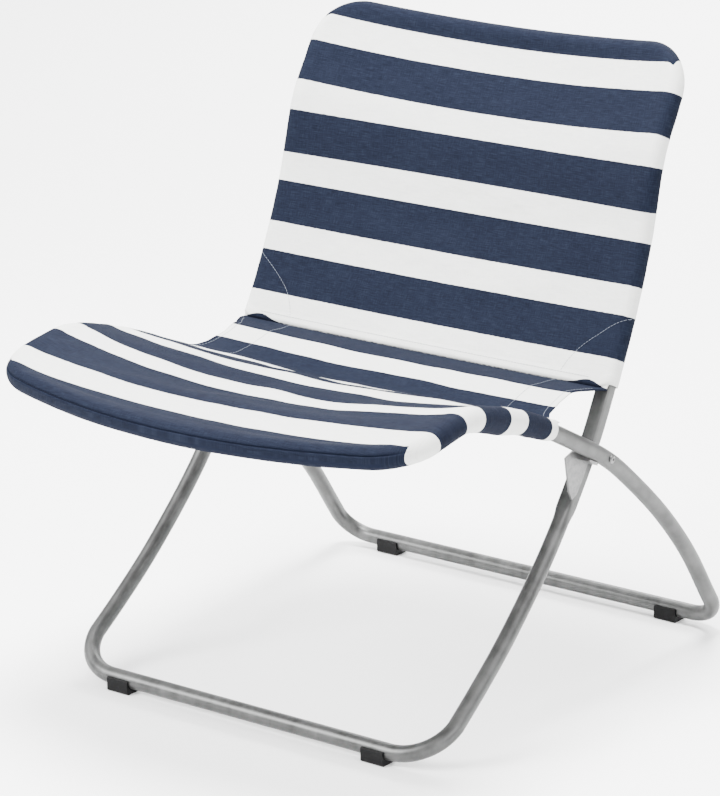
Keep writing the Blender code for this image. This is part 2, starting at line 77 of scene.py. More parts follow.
# ---- the canvas -----------------------------------------------------------------------------------
COVER_R = 0.0130  # outside of the canvas, from the tube's centre
CANVAS = 0.0011
BACK_MOUTH = 0.516  # where the pockets end, along the sides, at their outer rims
SEAT_MOUTH = 0.542
# How much longer the upper layer is than the rim, and how much shorter the lower one.
BACK_SLANT = (0.0065, 0.0)
SEAT_SLANT = (0.024, 0.020)
LINING_GAP = 0.006
BLUE_STRIPE = 0.0527
WHITE_STRIPE = 0.0373
TOP_BLUE = 0.016  # front of the topmost blue band, from the middle of the headrest bar's crown
SEAT_WARP = 0.0373  # distance down the cloth, less the distance along the seat's side
SEAM_TURN = 34  # the front seam sits this many degrees above the bar's foremost line
HEM = 0.013
STITCH = 0.0030
STITCH_GAP = 0.0012
THREAD_R = 0.00020
# Slack below the tubes' tops in the middle of the sheet, by the distance along the side.
BACK_SLACK = ((0.505, 0.006), (0.58, 0.014), (0.68, 0.020), (0.80, 0.020), (0.88, 0.012), (0.95, 0.0))
SEAT_SLACK = (
    (0.515, 0.0045), (0.556, 0.0105), (0.60, 0.0125), (0.65, 0.022), (0.70, 0.031), (0.745, 0.030),
    (0.795, 0.011), (0.835, 0.013), (0.865, 0.004), (0.895, 0.0),
)
# The crease between the pockets: height against the straight line between the mouths, by the part of the way.
CREASE = ((0.0, 0.0), (0.06, 0.0012), (0.36, 0.0065), (0.62, 0.0012), (0.86, -0.0030), (1.0, 0.0))
# The free edges by the crease: distance from the middle, by the part of the way across it.
FREE_EDGE = (
    (-0.06, 0.2700), (0.0, 0.2690), (0.09, 0.2650), (0.20, 0.2580), (0.31, 0.2500),
    (0.53, 0.2470), (0.76, 0.2520),
    (0.90, 0.2620), (1.0, 0.2700), (1.08, 0.2700),
)
# The facing's topstitching, as distance from the middle and distance down the cloth.
FACING = ((0.274, 0.324), (0.247, 0.344), (0.215, 0.374), (0.199, 0.410), (0.194, 0.460), (0.196, 0.520),
          (0.206, 0.552), (0.236, 0.570), (0.288, 0.582))



def smooth_curve(points, step=0.002):
    """Catmull-Rom curve through the points, and the distance along it at each of its own points."""
    p = np.array(points, float)
    p = np.vstack([2 * p[0] - p[1], p, 2 * p[-1] - p[-2]])
    out = []
    for a, b, c, d in zip(p[:-3], p[1:-2], p[2:-1], p[3:]):
        count = max(2, int(np.linalg.norm(c - b) / step))
        t = np.linspace(0, 1, count, endpoint=False)[:, None]
        out.append(
            0.5 * (2 * b + (c - a) * t + (2 * a - 5 * b + 4 * c - d) * t**2 + (3 * b - a - 3 * c + d) * t**3)
        )
    curve = np.vstack([*out, p[-2]])
    along = np.r_[0, np.cumsum(np.linalg.norm(np.diff(curve, axis=0), axis=1))]
    return curve, along


class Loop:
    """A tube loop, as a rounded rectangle (x, s) on a sheet that is bent along the loop's side view."""

    def __init__(self, side, half_foot, half_top, foot_bend, far_bend, plane_bow, depth_bow, sitter):
        self.curve, self.along = smooth_curve(side)
        self.curve = self.curve + (SHIFT, 0)
        self.length = self.along[-1]
        self.half_foot, self.half_top = half_foot, half_top
        self.foot_bend, self.far_bend = foot_bend, far_bend
        self.plane_bow, self.depth_bow = plane_bow, depth_bow
        self.sitter = sitter

    def half(self, s):
        return self.half_foot + (self.half_top - self.half_foot) * np.clip(s / self.length, 0, 1)

    def side(self, s):
        s = np.asarray(s, float)
        inside = np.clip(s, 0, self.length)
        eps = 0.006
        low, high = np.clip(inside - eps, 0, self.length), np.clip(inside + eps, 0, self.length)
        point = np.stack([np.interp(inside, self.along, self.curve[:, k]) for k in (0, 1)], -1)
        ahead = np.stack([np.interp(high, self.along, self.curve[:, k]) for k in (0, 1)], -1)
        behind = np.stack([np.interp(low, self.along, self.curve[:, k]) for k in (0, 1)], -1)
        tangent = ahead - behind
        tangent /= np.linalg.norm(tangent, axis=-1, keepdims=True)
        return point + tangent * (s - inside)[..., None], tangent

    def place(self, x, s, height=0.0):
        """The point at x and s, lifted square to the sheet towards the sitter."""
        x, s = np.broadcast_arrays(np.asarray(x, float), np.asarray(s, float))
        point, tangent = self.side(s)
        normal = np.stack([-tangent[..., 1], tangent[..., 0]], -1) * self.sitter
        across = np.clip(np.abs(x) / self.half(s), 0, 1)
        near_end = np.clip((s - 0.60 * self.length) / (0.40 * self.length), 0, 1)
        bow = -self.depth_bow * (1 - across**2) * near_end**2
        lifted = point + normal * (np.asarray(height) + bow)[..., None]
        return np.concatenate([x[..., None], lifted], -1)

    def foot_line(self, end, side_count=70, turn_count=16):
        w, r = self.half_foot, self.foot_bend
        line = [(float(self.half(s)), s) for s in np.linspace(end, r, side_count)]
        turns = np.linspace(0, math.pi / 2, turn_count)[1:]
        line += [(w - r + r * math.cos(a), r - r * math.sin(a)) for a in turns]
        return line + [(x, 0.0) for x in np.linspace(w - r, 0, 12)[1:]]

    def hoop_line(self, start, side_count=70, turn_count=22, bar_count=24):
        """x, s and the outward direction from the side at start up to the middle of the far bar."""
        w, r, bow = self.half_top, self.far_bend, self.plane_bow
        lean = 0.0
        for _ in range(8):
            end_x = w - r + r * math.sin(lean)
            lean = math.atan(2 * bow / end_x)
        line = [(float(self.half(s)), s, 1.0, 0.0) for s in np.linspace(start, self.length - r, side_count)]
        for a in np.linspace(0, math.pi / 2 - lean, turn_count)[1:]:
            across, along = math.cos(a), math.sin(a)
            line.append((w - r + r * across, self.length - r + r * along, across, along))
        for x in np.linspace(end_x, 0, bar_count)[1:]:
            slope = 2 * bow * x / end_x**2
            s = self.length - r + r * math.cos(lean) + bow * (1 - (x / end_x) ** 2)
            line.append((x, s, slope / math.hypot(1, slope), 1 / math.hypot(1, slope)))
        return np.array(line)

    def far_edge(self, x, out):
        """s of the loop's far outline at x, on a line set out from the tube's centre."""
        line = self.hoop_line(0.3)
        rim = line[:, :2] + line[:, 2:] * out
        rim = rim[rim[:, 1] > self.length - self.far_bend - 1e-6]
        return np.interp(np.abs(x), rim[::-1, 0], rim[::-1, 1])

    def inset(self, x, s):
        """Distance from the tube's centre line on the sheet: above zero inside the loop."""
        line = self.hoop_line(0.3)[:, :2]
        a, b = line[:-1], line[1:]
        p = np.stack([np.abs(np.ravel(x)), np.ravel(s)], -1)[:, None]
        t = np.clip(((p - a) * (b - a)).sum(-1) / ((b - a) ** 2).sum(-1), 0, 1)
        nearest = np.linalg.norm(p - (a + t[..., None] * (b - a)), axis=-1).min(1).reshape(np.shape(x))
        inside = (np.abs(x) < self.half(s)) & (s < self.far_edge(x, 0.0))
        return np.where(inside, nearest, -nearest)


back = Loop(BACK_SIDE, 0.2655, 0.2580, 0.060, 0.053, 0.0, 0.032, 1)
seat = Loop(SEAT_SIDE, 0.2880, 0.2880, 0.040, 0.065, 0.037, 0.0, -1)

# ---- mesh helpers ---------------------------------------------------------------------------------


def mesh_object(name, vertices, faces, attributes=None, sharp=40):
    mesh = bpy.data.meshes.new(name)
    mesh.from_pydata([tuple(map(float, v)) for v in vertices], [], faces)
    work = bmesh.new()
    work.from_mesh(mesh)
    bmesh.ops.recalc_face_normals(work, faces=work.faces)
    work.to_mesh(mesh)
    work.free()
    for key, values in (attributes or {}).items():
        layer = mesh.attributes.new(key, "FLOAT", "POINT")
        layer.data.foreach_set("value", np.asarray(values, np.float32))
    mesh.shade_smooth()
    mesh.set_sharp_from_angle(angle=math.radians(sharp))
    made = bpy.data.objects.new(name, mesh)
    bpy.context.scene.collection.objects.link(made)
    return made


def ring_frames(path):
    """Tangent and two square directions along a path, without twist, the first as near to +X as can be."""
    tangents = np.gradient(path, axis=0)
    tangents[0], tangents[-1] = path[1] - path[0], path[-1] - path[-2]
    tangents /= np.linalg.norm(tangents, axis=1)[:, None]
    first = np.cross(tangents[0], (0.0, 0.8, -0.6))
    frames = []
    for tangent in tangents:
        first = first - tangent * np.dot(first, tangent)
        first /= np.linalg.norm(first)
        frames.append((tangent, first.copy(), np.cross(tangent, first)))
    return frames


def swept_tube(name, path, profile, sides=32, wall=0.0015):
    """An open-ended tube: profile(i, angles) gives the outer ring's two offsets at path point i."""
    frames = ring_frames(path)
    angles = np.arange(sides) * 2 * math.pi / sides
    outer, inner = [], []
    for i, (point, (_, first, second)) in enumerate(zip(path, frames)):
        a, b = profile(i, angles, first, second)
        ring = np.outer(a, first) + np.outer(b, second)
        outer.append(point + ring)
        inner.append(point + ring * (1 - wall / TUBE_R))
    n = len(path)
    vertices = np.vstack(outer + inner)
    faces = []
    for base in (0, n * sides):
        for r in range(n - 1):
            for k in range(sides):
                a, b = base + r * sides + k, base + r * sides + (k + 1) % sides
                faces.append((a, b, b + sides, a + sides))
    for r in (0, n - 1):
        for k in range(sides):
            a, b = r * sides + k, r * sides + (k + 1) % sides
            faces.append((a, b, b + n * sides, a + n * sides))
    return mesh_object(name, vertices, faces)


# ---- materials ------------------------------------------------------------------------------------


class Nodes:
    """A small help for writing node trees: new nodes by type, inputs set or linked by name."""

    def __init__(self, name):
        self.material = bpy.data.materials.new(name)
        self.material.use_nodes = True
        self.tree = self.material.node_tree
        self.shader = self.tree.nodes["Principled BSDF"]

    def add(self, kind, settings=None, **inputs):
        node = self.tree.nodes.new(kind)
        for key, value in (settings or {}).items():
            setattr(node, key, value)
        for key, value in inputs.items():
            self.put(node, key.replace("_", " "), value)
        return node

    def put(self, node, key, value):
        socket = node.inputs[int(key)] if key.isdigit() else node.inputs[key]
        if isinstance(value, bpy.types.NodeSocket):
            self.tree.links.new(value, socket)
        else:
            socket.default_value = value

    def math(self, operation, *values, clamp=False):
        node = self.add("ShaderNodeMath", {"operation": operation, "use_clamp": clamp})
        for k, value in enumerate(values):
            self.put(node, str(k), value)
        return node.outputs[0]

    def ramp(self, value, stops, interpolation="LINEAR"):
        node = self.add("ShaderNodeValToRGB")
        self.put(node, "Fac", value)
        node.color_ramp.interpolation = interpolation
        elements = node.color_ramp.elements
        while len(elements) < len(stops):
            elements.new(0.5)
        for element, (place, colour) in zip(elements, stops):
            element.position = place
            element.color = (*colour, 1) if len(colour) == 3 else colour
        return node.outputs[0]

    def mix(self, factor, a, b, blend="MIX"):
        node = self.add("ShaderNodeMix", {"data_type": "RGBA", "blend_type": blend})
        self.put(node, "0", factor)
        for k, value in ((6, a), (7, b)):
            self.put(node, str(k), value if isinstance(value, bpy.types.NodeSocket) else (*value, 1))
        return node.outputs[2]

    def noise(self, scale, detail=3.0, roughness=0.5, vector=None, stretch=None):
        vector = vector or self.add("ShaderNodeTexCoord").outputs["Object"]
        if stretch:
            mapping = self.add("ShaderNodeMapping", Vector=vector, Scale=stretch)
            vector = mapping.outputs[0]
        node = self.add("ShaderNodeTexNoise", Vector=vector, Scale=scale, Detail=detail, Roughness=roughness)
        return node.outputs["Fac"]

    def attribute(self, name):
        return self.add("ShaderNodeAttribute", {"attribute_name": name}).outputs["Fac"]

    def bump(self, height, strength, distance, normal=None):
        node = self.add("ShaderNodeBump", Height=height, Strength=strength, Distance=distance)
        if normal:
            self.put(node, "Normal", normal)
        return node.outputs[0]


def grey(v):
    return (v, v, v)


def galvanised(name, light=0.105, dark=0.050):
    """Zinc-plated steel tube: soft cloudy spangle, faint draw lines, rubbed and dusty patches."""
    n = Nodes(name)
    cloud = n.noise(38.0, 4.0, 0.55)
    fine = n.noise(420.0, 3.0, 0.6)
    streak = n.noise(90.0, 2.0, 0.5, stretch=(1.0, 0.22, 0.22))
    mixed = n.math("ADD", n.math("MULTIPLY", cloud, 0.6), n.math("MULTIPLY", streak, 0.4))
    shades = [(place, (shade, shade * 1.01, shade)) for place, shade in ((0.34, dark), (0.66, light))]
    colour = n.ramp(mixed, shades)
    speck = n.ramp(fine, [(0.60, grey(0.0)), (0.75, grey(1.0))])
    colour = n.mix(n.math("MULTIPLY", speck, 0.18), colour, (0.08, 0.08, 0.08))
    n.put(n.shader, "Base Color", colour)
    n.put(n.shader, "Metallic", 0.88)
    n.put(n.shader, "Roughness", n.ramp(mixed, [(0.3, grey(0.36)), (0.7, grey(0.50))]))
    height = n.math("ADD", n.math("MULTIPLY", fine, 0.4), cloud)
    n.put(n.shader, "Normal", n.bump(height, 0.12, 0.0006))
    return n.material


def plated(name, light=0.17):
    """Bright zinc on stamped and turned fittings, dulled in patches, with fine turning marks."""
    n = Nodes(name)
    cloud = n.noise(160.0, 3.0, 0.6)
    scratch = n.noise(700.0, 2.0, 0.7, stretch=(1.0, 0.15, 1.0))
    n.put(n.shader, "Base Color", n.ramp(cloud, [(0.35, grey(light * 0.72)), (0.65, grey(light))]))
    n.put(n.shader, "Metallic", 0.9)
    n.put(n.shader, "Roughness", n.ramp(scratch, [(0.3, grey(0.30)), (0.7, grey(0.46))]))
    n.put(n.shader, "Normal", n.bump(n.math("ADD", cloud, scratch), 0.10, 0.0004))
    return n.material


def moulded(name, colour, dust=0.06):
    """Moulded plastic: fine spark-eroded grain, slightly dusty and scuffed."""
    n = Nodes(name)
    grain = n.noise(1500.0, 2.0, 0.6)
    scuff = n.ramp(n.noise(120.0, 5.0, 0.7), [(0.52, grey(0.0)), (0.72, grey(1.0))])
    lighter = tuple(c + dust for c in colour)
    n.put(n.shader, "Base Color", n.mix(scuff, colour, lighter))
    n.put(n.shader, "Roughness", n.ramp(grain, [(0.3, grey(0.42)), (0.7, grey(0.60))]))
    n.put(n.shader, "Specular IOR Level", 0.12)
    n.put(n.shader, "Normal", n.bump(grain, 0.25, 0.0002))
    return n.material


NAVY = (0.0036, 0.0052, 0.0120)
NAVY_LIGHT = (0.0088, 0.0118, 0.0215)
NAVY_DARK = (0.0016, 0.0024, 0.0062)
SEAM_NAVY = (0.004, 0.006, 0.014)
WEAVE_REPEAT = 0.0011
CREAM = (0.600, 0.605, 0.590)
CREAM_SHADE = (0.520, 0.528, 0.512)


def canvas_material():
    """Yarn-dyed canvas: stripes by distance along the cloth, a plain weave and slubby, heathered yarn.

    The mesh carries the cloth's own coordinates: warp is the distance down it, weft the distance across.
    Where the attribute seam is 1, the cloth is plain dark navy: the seam's groove and the front lining.
    """
    n = Nodes("striped_canvas")
    warp, weft = n.attribute("warp"), n.attribute("weft")
    cloth = n.add("ShaderNodeCombineXYZ", X=weft, Y=warp).outputs[0]
    wobble = n.noise(240.0, 2.0, 0.5, vector=cloth)
    edge = n.math("ADD", warp, n.math("MULTIPLY", n.math("SUBTRACT", wobble, 0.5), 0.0012))
    period = BLUE_STRIPE + WHITE_STRIPE
    phase = n.math("FLOORED_MODULO", n.math("ADD", edge, BLUE_STRIPE - TOP_BLUE), period)
    soft = 1.0 / 0.0006
    is_white = n.math("MULTIPLY", n.math("SUBTRACT", phase, BLUE_STRIPE), soft, clamp=True)
    back_again = n.math("MULTIPLY", n.math("SUBTRACT", period, phase), soft, clamp=True)
    white = n.math("MULTIPLY", is_white, back_again)

    # Yarns: each weft yarn has its own shade, broken up along its length.
    yarn_map = n.add("ShaderNodeMapping", Vector=cloth, Scale=(60.0, 1100.0, 1.0))
    yarn = n.noise(1.0, 2.0, 0.6, vector=yarn_map.outputs[0])
    cross_map = n.add("ShaderNodeMapping", Vector=cloth, Scale=(1100.0, 90.0, 1.0))
    cross = n.noise(1.0, 2.0, 0.6, vector=cross_map.outputs[0])
    heather = n.math("ADD", n.math("MULTIPLY", yarn, 0.6), n.math("MULTIPLY", cross, 0.4))
    blotch = n.noise(14.0, 3.0, 0.5, vector=cloth)
    blue = n.ramp(heather, [(0.36, NAVY_DARK), (0.50, NAVY), (0.66, NAVY_LIGHT)])
    blue = n.mix(n.math("MULTIPLY", blotch, 0.35), blue, NAVY_LIGHT)
    cream = n.ramp(heather, [(0.34, CREAM_SHADE), (0.58, CREAM)])
    colour = n.mix(n.attribute("seam"), n.mix(white, blue, cream), SEAM_NAVY)

    pitch = 2 * math.pi / WEAVE_REPEAT
    down, across = (n.math("SINE", n.math("MULTIPLY", way, pitch)) for way in (warp, weft))
    over = n.math("MULTIPLY", down, across)
    weave = n.math("ADD", n.math("MULTIPLY", over, 0.5), n.math("MULTIPLY", heather, 0.9))
    n.put(n.shader, "Base Color", colour)
    n.put(n.shader, "Roughness", 0.88)
    n.put(n.shader, "Specular IOR Level", 0.06)
    crease_map = n.add("ShaderNodeMapping", Vector=cloth, Scale=(1.0, 1.6, 1.0))
    crease = n.noise(26.0, 3.0, 0.55, vector=crease_map.outputs[0])
    rough = n.bump(weave, 0.35, 0.0004)
    n.put(n.shader, "Normal", n.bump(crease, 0.20, 0.006, rough))
    return n.material


def thread_material(name, colour):
    n = Nodes(name)
    ply = n.noise(2600.0, 2.0, 0.6)
    n.put(n.shader, "Base Color", n.ramp(ply, [(0.35, tuple(c * 0.7 for c in colour)), (0.65, colour)]))
    n.put(n.shader, "Roughness", 0.7)
    n.put(n.shader, "Normal", n.bump(ply, 0.4, 0.0002))
    return n.material


steel_material = galvanised("galvanised_tube_look")
zinc_material = plated("zinc_fittings_look")
black_material = moulded("black_plastic_look", (0.0015, 0.0015, 0.0018), 0.004)
nylon_material = moulded("grey_nylon_look", (0.12, 0.12, 0.12), 0.03)
cloth_material = canvas_material()
cream_thread = thread_material("cream_thread", (0.17, 0.19, 0.23))

LOOKS = {
    "galvanised_tube": steel_material,
    "zinc_fittings": zinc_material,
    "black_plastic": black_material,
    "grey_nylon": nylon_material,
}
for part in frame["record"]["subparts"]:
    look = LOOKS.get(part["material_slot"])
    node = frame["nodes"][part["node"]]
    if look:
        node.data.materials.clear()
        node.data.materials.append(look)

# ---- tubes ----------------------------------------------------------------------------------------


def round_profile(i, angles, first, second):
    return TUBE_R * np.cos(angles), TUBE_R * np.sin(angles)


def both_sides(line):
    line = [tuple(p[:2]) for p in line]
    return np.array(line + [(-x, s) for x, s in reversed(line[:-1])])


def fine_tube(name, loop, line, body, profile=round_profile):
    points = both_sides(line)
    path = loop.place(points[:, 0], points[:, 1])
    tube = swept_tube(name, path, profile)
    tube.data.materials.append(steel_material)
    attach(tube, body)
    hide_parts(name.replace("_fine", ""))
    return tube


front_line = back.foot_line(BACK_SPLIT - 0.0008)
front_points = both_sides(front_line)
PRESSED = (0.345, 0.600)  # the legs are pressed nearly square between these distances along the side


def pressed_profile(i, angles, first, second):
    """Round tube that is pressed to flat sides through the crossing."""
    s, x = front_points[i, 1], front_points[i, 0]
    amount = np.clip((s - PRESSED[0]) / 0.03, 0, 1) * np.clip((PRESSED[1] - s) / 0.02, 0, 1)
    amount = amount * amount * (3 - 2 * amount)
    c, d = np.cos(angles), np.sin(angles)
    power = 2 + 8 * amount
    reach = (np.abs(c) ** power + np.abs(d) ** power) ** (-1 / power)
    size = TUBE_R * (1 - 0.09 * amount)
    return size * reach * c, size * reach * d


fine_tube("front_leg_tube_fine", back, front_line, "back_frame", pressed_profile)
fine_tube("rear_leg_tube_fine", seat, seat.foot_line(SEAT_SPLIT - 0.0008), "seat_frame")

# ---- canvas ---------------------------------------------------------------------------------------


def eased(t):
    t = np.clip(t, 0, 1)
    return t * t * (3 - 2 * t)


def soft_steps(value, pairs):
    """A smooth curve through a few pairs."""
    xs, ys = np.array(pairs).T
    fine = np.linspace(xs[0], xs[-1], 400)
    rough = np.interp(fine, xs, ys)
    width = 31
    padded = np.r_[np.full(width, rough[0]), rough, np.full(width, rough[-1])]
    kernel = np.hanning(width)
    smooth = np.convolve(padded, kernel / kernel.sum(), "same")[width:-width]
    return np.interp(value, fine, smooth)


RIM_TURNS = np.radians([0, 10, 18, 24, 28, 31, 33, 34, 35, 37, 40, 44, 50, 58, 68, 79, 90])
RIM = COVER_R * (1 - np.cos(RIM_TURNS))


def columns():
    """Places across the cloth from -1 to 1, closest together over the tubes."""
    near = np.arange(0.0165, 0.075, 0.004)
    rest = np.linspace(near[-1] + 0.006, 0.30, 22)
    u = 1 - np.r_[RIM, near, rest] / 0.30
    return np.r_[-u, u[-2::-1]]


def rows():
    """Places along a pocket from mouth to far rim, closest together at the hem and over the far bar."""
    span = 0.36
    near = np.arange(0.0165, 0.075, 0.004)
    hem = np.r_[0, 0.004, 0.009, HEM - 0.0010, HEM, HEM + 0.0010, 0.018, 0.024]
    middle = np.linspace(0.031, span - near[-1] - 0.007, 38)
    return np.r_[hem, middle, span - near[::-1], span - RIM[::-1]] / span


def wrinkle(x, s, seed, scale=(9.0, 20.0)):
    """Soft uneven slack in the cloth, about one unit high."""
    out = np.empty(x.shape)
    for index in np.ndindex(x.shape):
        p = Vector((x[index] * scale[0], s[index] * scale[1], seed))
        out[index] = noise.noise(p) + 0.5 * noise.noise(p * 2.3)
    return out


CLOTHING = {
    back: {"slack": BACK_SLACK, "seed": 3.1, "ripple": 0.0016},
    seat: {"slack": SEAT_SLACK, "seed": 8.4, "ripple": 0.0030},
}


def upper_lift(loop, x, s, inset, height):
    """Height of the upper layer over the tubes' plane: level at their tops, slack and rippled between."""
    cut = CLOTHING[loop]
    across = np.clip(np.abs(x) / (loop.half(s) - 0.004), 0, 1)
    slack = soft_steps(s, cut["slack"]) * (1 - across**2.2) * np.clip(inset / 0.015, 0, 1)
    slack = slack - wrinkle(x, s, cut["seed"]) * cut["ripple"] * np.clip((inset - 0.004) / 0.05, 0, 1)
    return height - slack, slack


def upper_layer(loop, x, s):
    """Points of the upper layer away from the far bar."""
    inset = loop.half(s) - np.abs(x)
    height = np.sqrt(np.maximum(COVER_R**2 - np.clip(-inset, 0, COVER_R) ** 2, 0))
    return loop.place(x, s, upper_lift(loop, x, s, inset, height)[0])


def pocket(loop, mouth, slant, face):
    """One layer of a pocket: its points, its warp and weft distances, how far it is into a seam, and x."""
    u, t = columns(), rows()
    uu, tt = np.meshgrid(u, t)
    w_top = loop.half_top + COVER_R
    far = loop.far_edge(np.abs(uu) * w_top, COVER_R)
    inward = (1 - np.abs(uu)) * w_top
    start = mouth - face * slant[0 if face > 0 else 1] * eased((inward - 0.001) / 0.016)
    s = start + (far - start) * tt
    x = uu * (loop.half(s) + COVER_R)
    inset = np.maximum(loop.inset(x, s), -COVER_R)
    rim = (np.abs(uu) > 1 - 1e-9) | (tt > 1 - 1e-9)
    inset = np.where(rim, -COVER_R, inset)
    outward = np.clip(-inset, 0, COVER_R)
    height = np.sqrt(np.maximum(COVER_R**2 - outward**2, 0))
    lift, slack = upper_lift(loop, x, s, inset, height)
    if face < 0:
        close = (2 * COVER_R - LINING_GAP) * eased((inset - 0.012) / 0.05)
        lift = close - height - slack

    # Puckers round the tubes, the doubled hem at the mouth and the groove of the front seam.
    at_tube = np.clip(1 - np.abs(inset) / 0.03, 0, 1)
    pucker = wrinkle(x, s, CLOTHING[loop]["seed"] + 5, (14.0, 62.0)) * 0.0006 * at_tube
    hem = 0.0006 * (1 - eased((s - start - HEM + 0.001) / 0.002))
    lift = lift + face * (pucker + hem)
    if loop is seat and face < 0:
        belly = np.exp(-(((s - 0.655) / 0.050) ** 2)) * np.clip(1 - np.abs(inset) / COVER_R, 0, 1)
        lift -= 0.0050 * belly * eased(height / 0.008)
    turn = np.degrees(np.arctan2(height, outward))
    at_bar = eased((s - (loop.length - 0.030)) / 0.030) * (outward > 0) * (face > 0) * (loop is seat)
    groove = np.exp(-(((turn - SEAM_TURN) / 4.5) ** 2)) * at_bar
    swell = np.exp(-(((turn - SEAM_TURN) / 16.0) ** 2)) * at_bar
    points = loop.place(x, s, lift)
    axis = loop.place(np.clip(x, -loop.half(s), loop.half(s)), np.minimum(s, loop.far_edge(x, 0.0)), 0.0)
    outwards = points - axis
    outwards /= np.maximum(np.linalg.norm(outwards, axis=-1, keepdims=True), 1e-6)
    points = points + outwards * (0.0008 * swell - 0.0026 * groove)[..., None]

    centre = loop.far_edge(x, 0.0)
    over = np.clip((s - centre) / COVER_R, 0, 1)
    wrapped = np.where(s > centre, centre + COVER_R * np.arcsin(over), s)
    side = np.clip((np.abs(x) - loop.half(s)) / COVER_R, 0, 1)
    weft = np.sign(x) * (np.minimum(np.abs(x), loop.half(s)) + COVER_R * np.arcsin(side))
    return points, wrapped, weft, np.clip(groove * 1.5, 0, 1), x


BACK_EDGE = BACK_MOUTH - BACK_SLANT[0]  # where the upper layers stop and the crease piece shows
SEAT_EDGE = SEAT_MOUTH - SEAT_SLANT[0]


def back_warp(s):
    return back.length - s


def gathered(x, warp):
    """The stripe at the back pocket's mouth is drawn up where the cloth bunches beside the tubes."""
    beside = np.exp(-(((np.abs(x) - 0.243) / 0.016) ** 2))
    return warp + 0.0080 * beside * np.exp(-(((warp - START_WARP) / 0.018) ** 2))


def seat_warp(x, s):
    """The stripes near the front are drawn a little way forward in the middle."""
    drawn = 0.022 * (1 - (x / seat.half_top) ** 2) * eased((s - 0.70) / 0.14)
    return np.minimum(s + SEAT_WARP - drawn, LAST_WARP)


LAST_WARP = 0.912  # the front blue band runs on to the seam
LINING_WARP = 0.800  # in a blue band: the lining is plain navy from there to the front
START_WARP = back_warp(BACK_EDGE)
CREASE_WARP = SEAT_EDGE + SEAT_WARP - START_WARP


def bridge_point(x, part):
    """The single layer across the crease at x, a part of the way from the back pocket to the seat pocket.

    Parts below 0 and above 1 are tucked under the pockets' hems.
    """
    tuck_back = BACK_EDGE + np.clip(-part, 0, 1) * CREASE_WARP
    tuck_seat = SEAT_EDGE + np.clip(part - 1, 0, 1) * CREASE_WARP
    p0 = upper_layer(back, x, tuck_back)
    p1 = upper_layer(seat, x, tuck_seat)
    inner = np.clip(part, 0, 1)
    point = p0 + (p1 - p0) * inner[..., None]
    free = np.clip(np.abs(x) / np.interp(part, *np.array(FREE_EDGE).T), 0, 1)
    curl = -0.0012 * free**6 * np.sin(2 * math.pi * inner)
    ripple = 0.0016 * wrinkle(x, part, 12.0, (11.0, 3.0)) * np.sin(math.pi * inner)
    point[..., 2] += soft_steps(inner, CREASE) + ripple - curl - 0.0010
    return point


def bridge_grid(row_count=54):
    """Points, warp and x of the crease piece."""
    inward = np.r_[0, 0.002, np.arange(0.005, 0.06, 0.005), np.linspace(0.068, 0.27, 24)]
    v = 1 - inward / 0.27
    v = np.r_[-v, v[-2::-1]]
    part = np.r_[-0.05, -0.025, 0, 0.008, 0.02, np.linspace(0.04, 1, row_count), 1.02, 1.05]
    vv, tt = np.meshgrid(v, part)
    x = vv * np.interp(tt, *np.array(FREE_EDGE).T)
    return bridge_point(x, tt), gathered(x, START_WARP + CREASE_WARP * tt), x


def grid_faces(numbers):
    a, b, c, d = numbers[:-1, :-1], numbers[:-1, 1:], numbers[1:, 1:], numbers[1:, :-1]
    return np.stack([a, b, c, d], -1).reshape(-1, 4).tolist()


def sling():
    """The whole cloth as one sewn mesh."""
    vertices, warp, weft, seam, faces = [], [], [], [], []

    def block(points, warps, wefts, seams, shared=None):
        numbers = np.empty(points.shape[:2], int)
        for index in np.ndindex(numbers.shape):
            if shared is not None and shared[index] >= 0:
                numbers[index] = shared[index]
                continue
            numbers[index] = len(vertices)
            vertices.append(points[index])
            warp.append(warps[index])
            weft.append(wefts[index])
            seam.append(seams[index])
        faces.extend(grid_faces(numbers))
        return numbers

    for loop, mouth, slant in ((back, BACK_MOUTH, BACK_SLANT), (seat, SEAT_MOUTH, SEAT_SLANT)):
        rim = None
        for face in (1, -1):
            points, s, wefts, seams, x = pocket(loop, mouth, slant, face)
            warps = gathered(x, back_warp(s)) if loop is back else seat_warp(x, s)
            if loop is seat and face < 0:
                lining = np.abs(x) < seat.half_top - 0.020
                plain = eased((warps - LINING_WARP) / 0.016)
                seams = np.where(lining, np.maximum(seams, plain), seams)
            layer = block(points, warps, wefts, seams, rim)
            rim = np.full(layer.shape, -1)
            rim[:, 0], rim[:, -1], rim[-1] = layer[:, 0], layer[:, -1], layer[-1]
    bridge, bridge_warp, x = bridge_grid()
    block(bridge, bridge_warp, x, np.zeros(x.shape))
    made = mesh_object("canvas_sling", vertices, faces, {"warp": warp, "weft": weft, "seam": seam}, 60)
    thick = made.modifiers.new("canvas", "SOLIDIFY")
    thick.thickness, thick.offset = CANVAS, 0
    made.data.materials.append(cloth_material)
    return made, bridge, bridge_warp


def bead(path, radius, sides=8):
    """A thin round cord of cloth or thread along a path."""
    frames = ring_frames(path)
    angles = np.arange(sides) * 2 * math.pi / sides
    rings = [
        p + np.outer(radius * np.cos(angles), a) + np.outer(radius * np.sin(angles), b)
        for p, (_, a, b) in zip(path, frames)
    ]
    faces = [
        (r * sides + k, r * sides + (k + 1) % sides, (r + 1) * sides + (k + 1) % sides, (r + 1) * sides + k)
        for r in range(len(path) - 1) for k in range(sides)
    ]
    faces += [tuple(range(sides)), tuple((len(path) - 1) * sides + k for k in range(sides))]
    return np.vstack(rings), faces


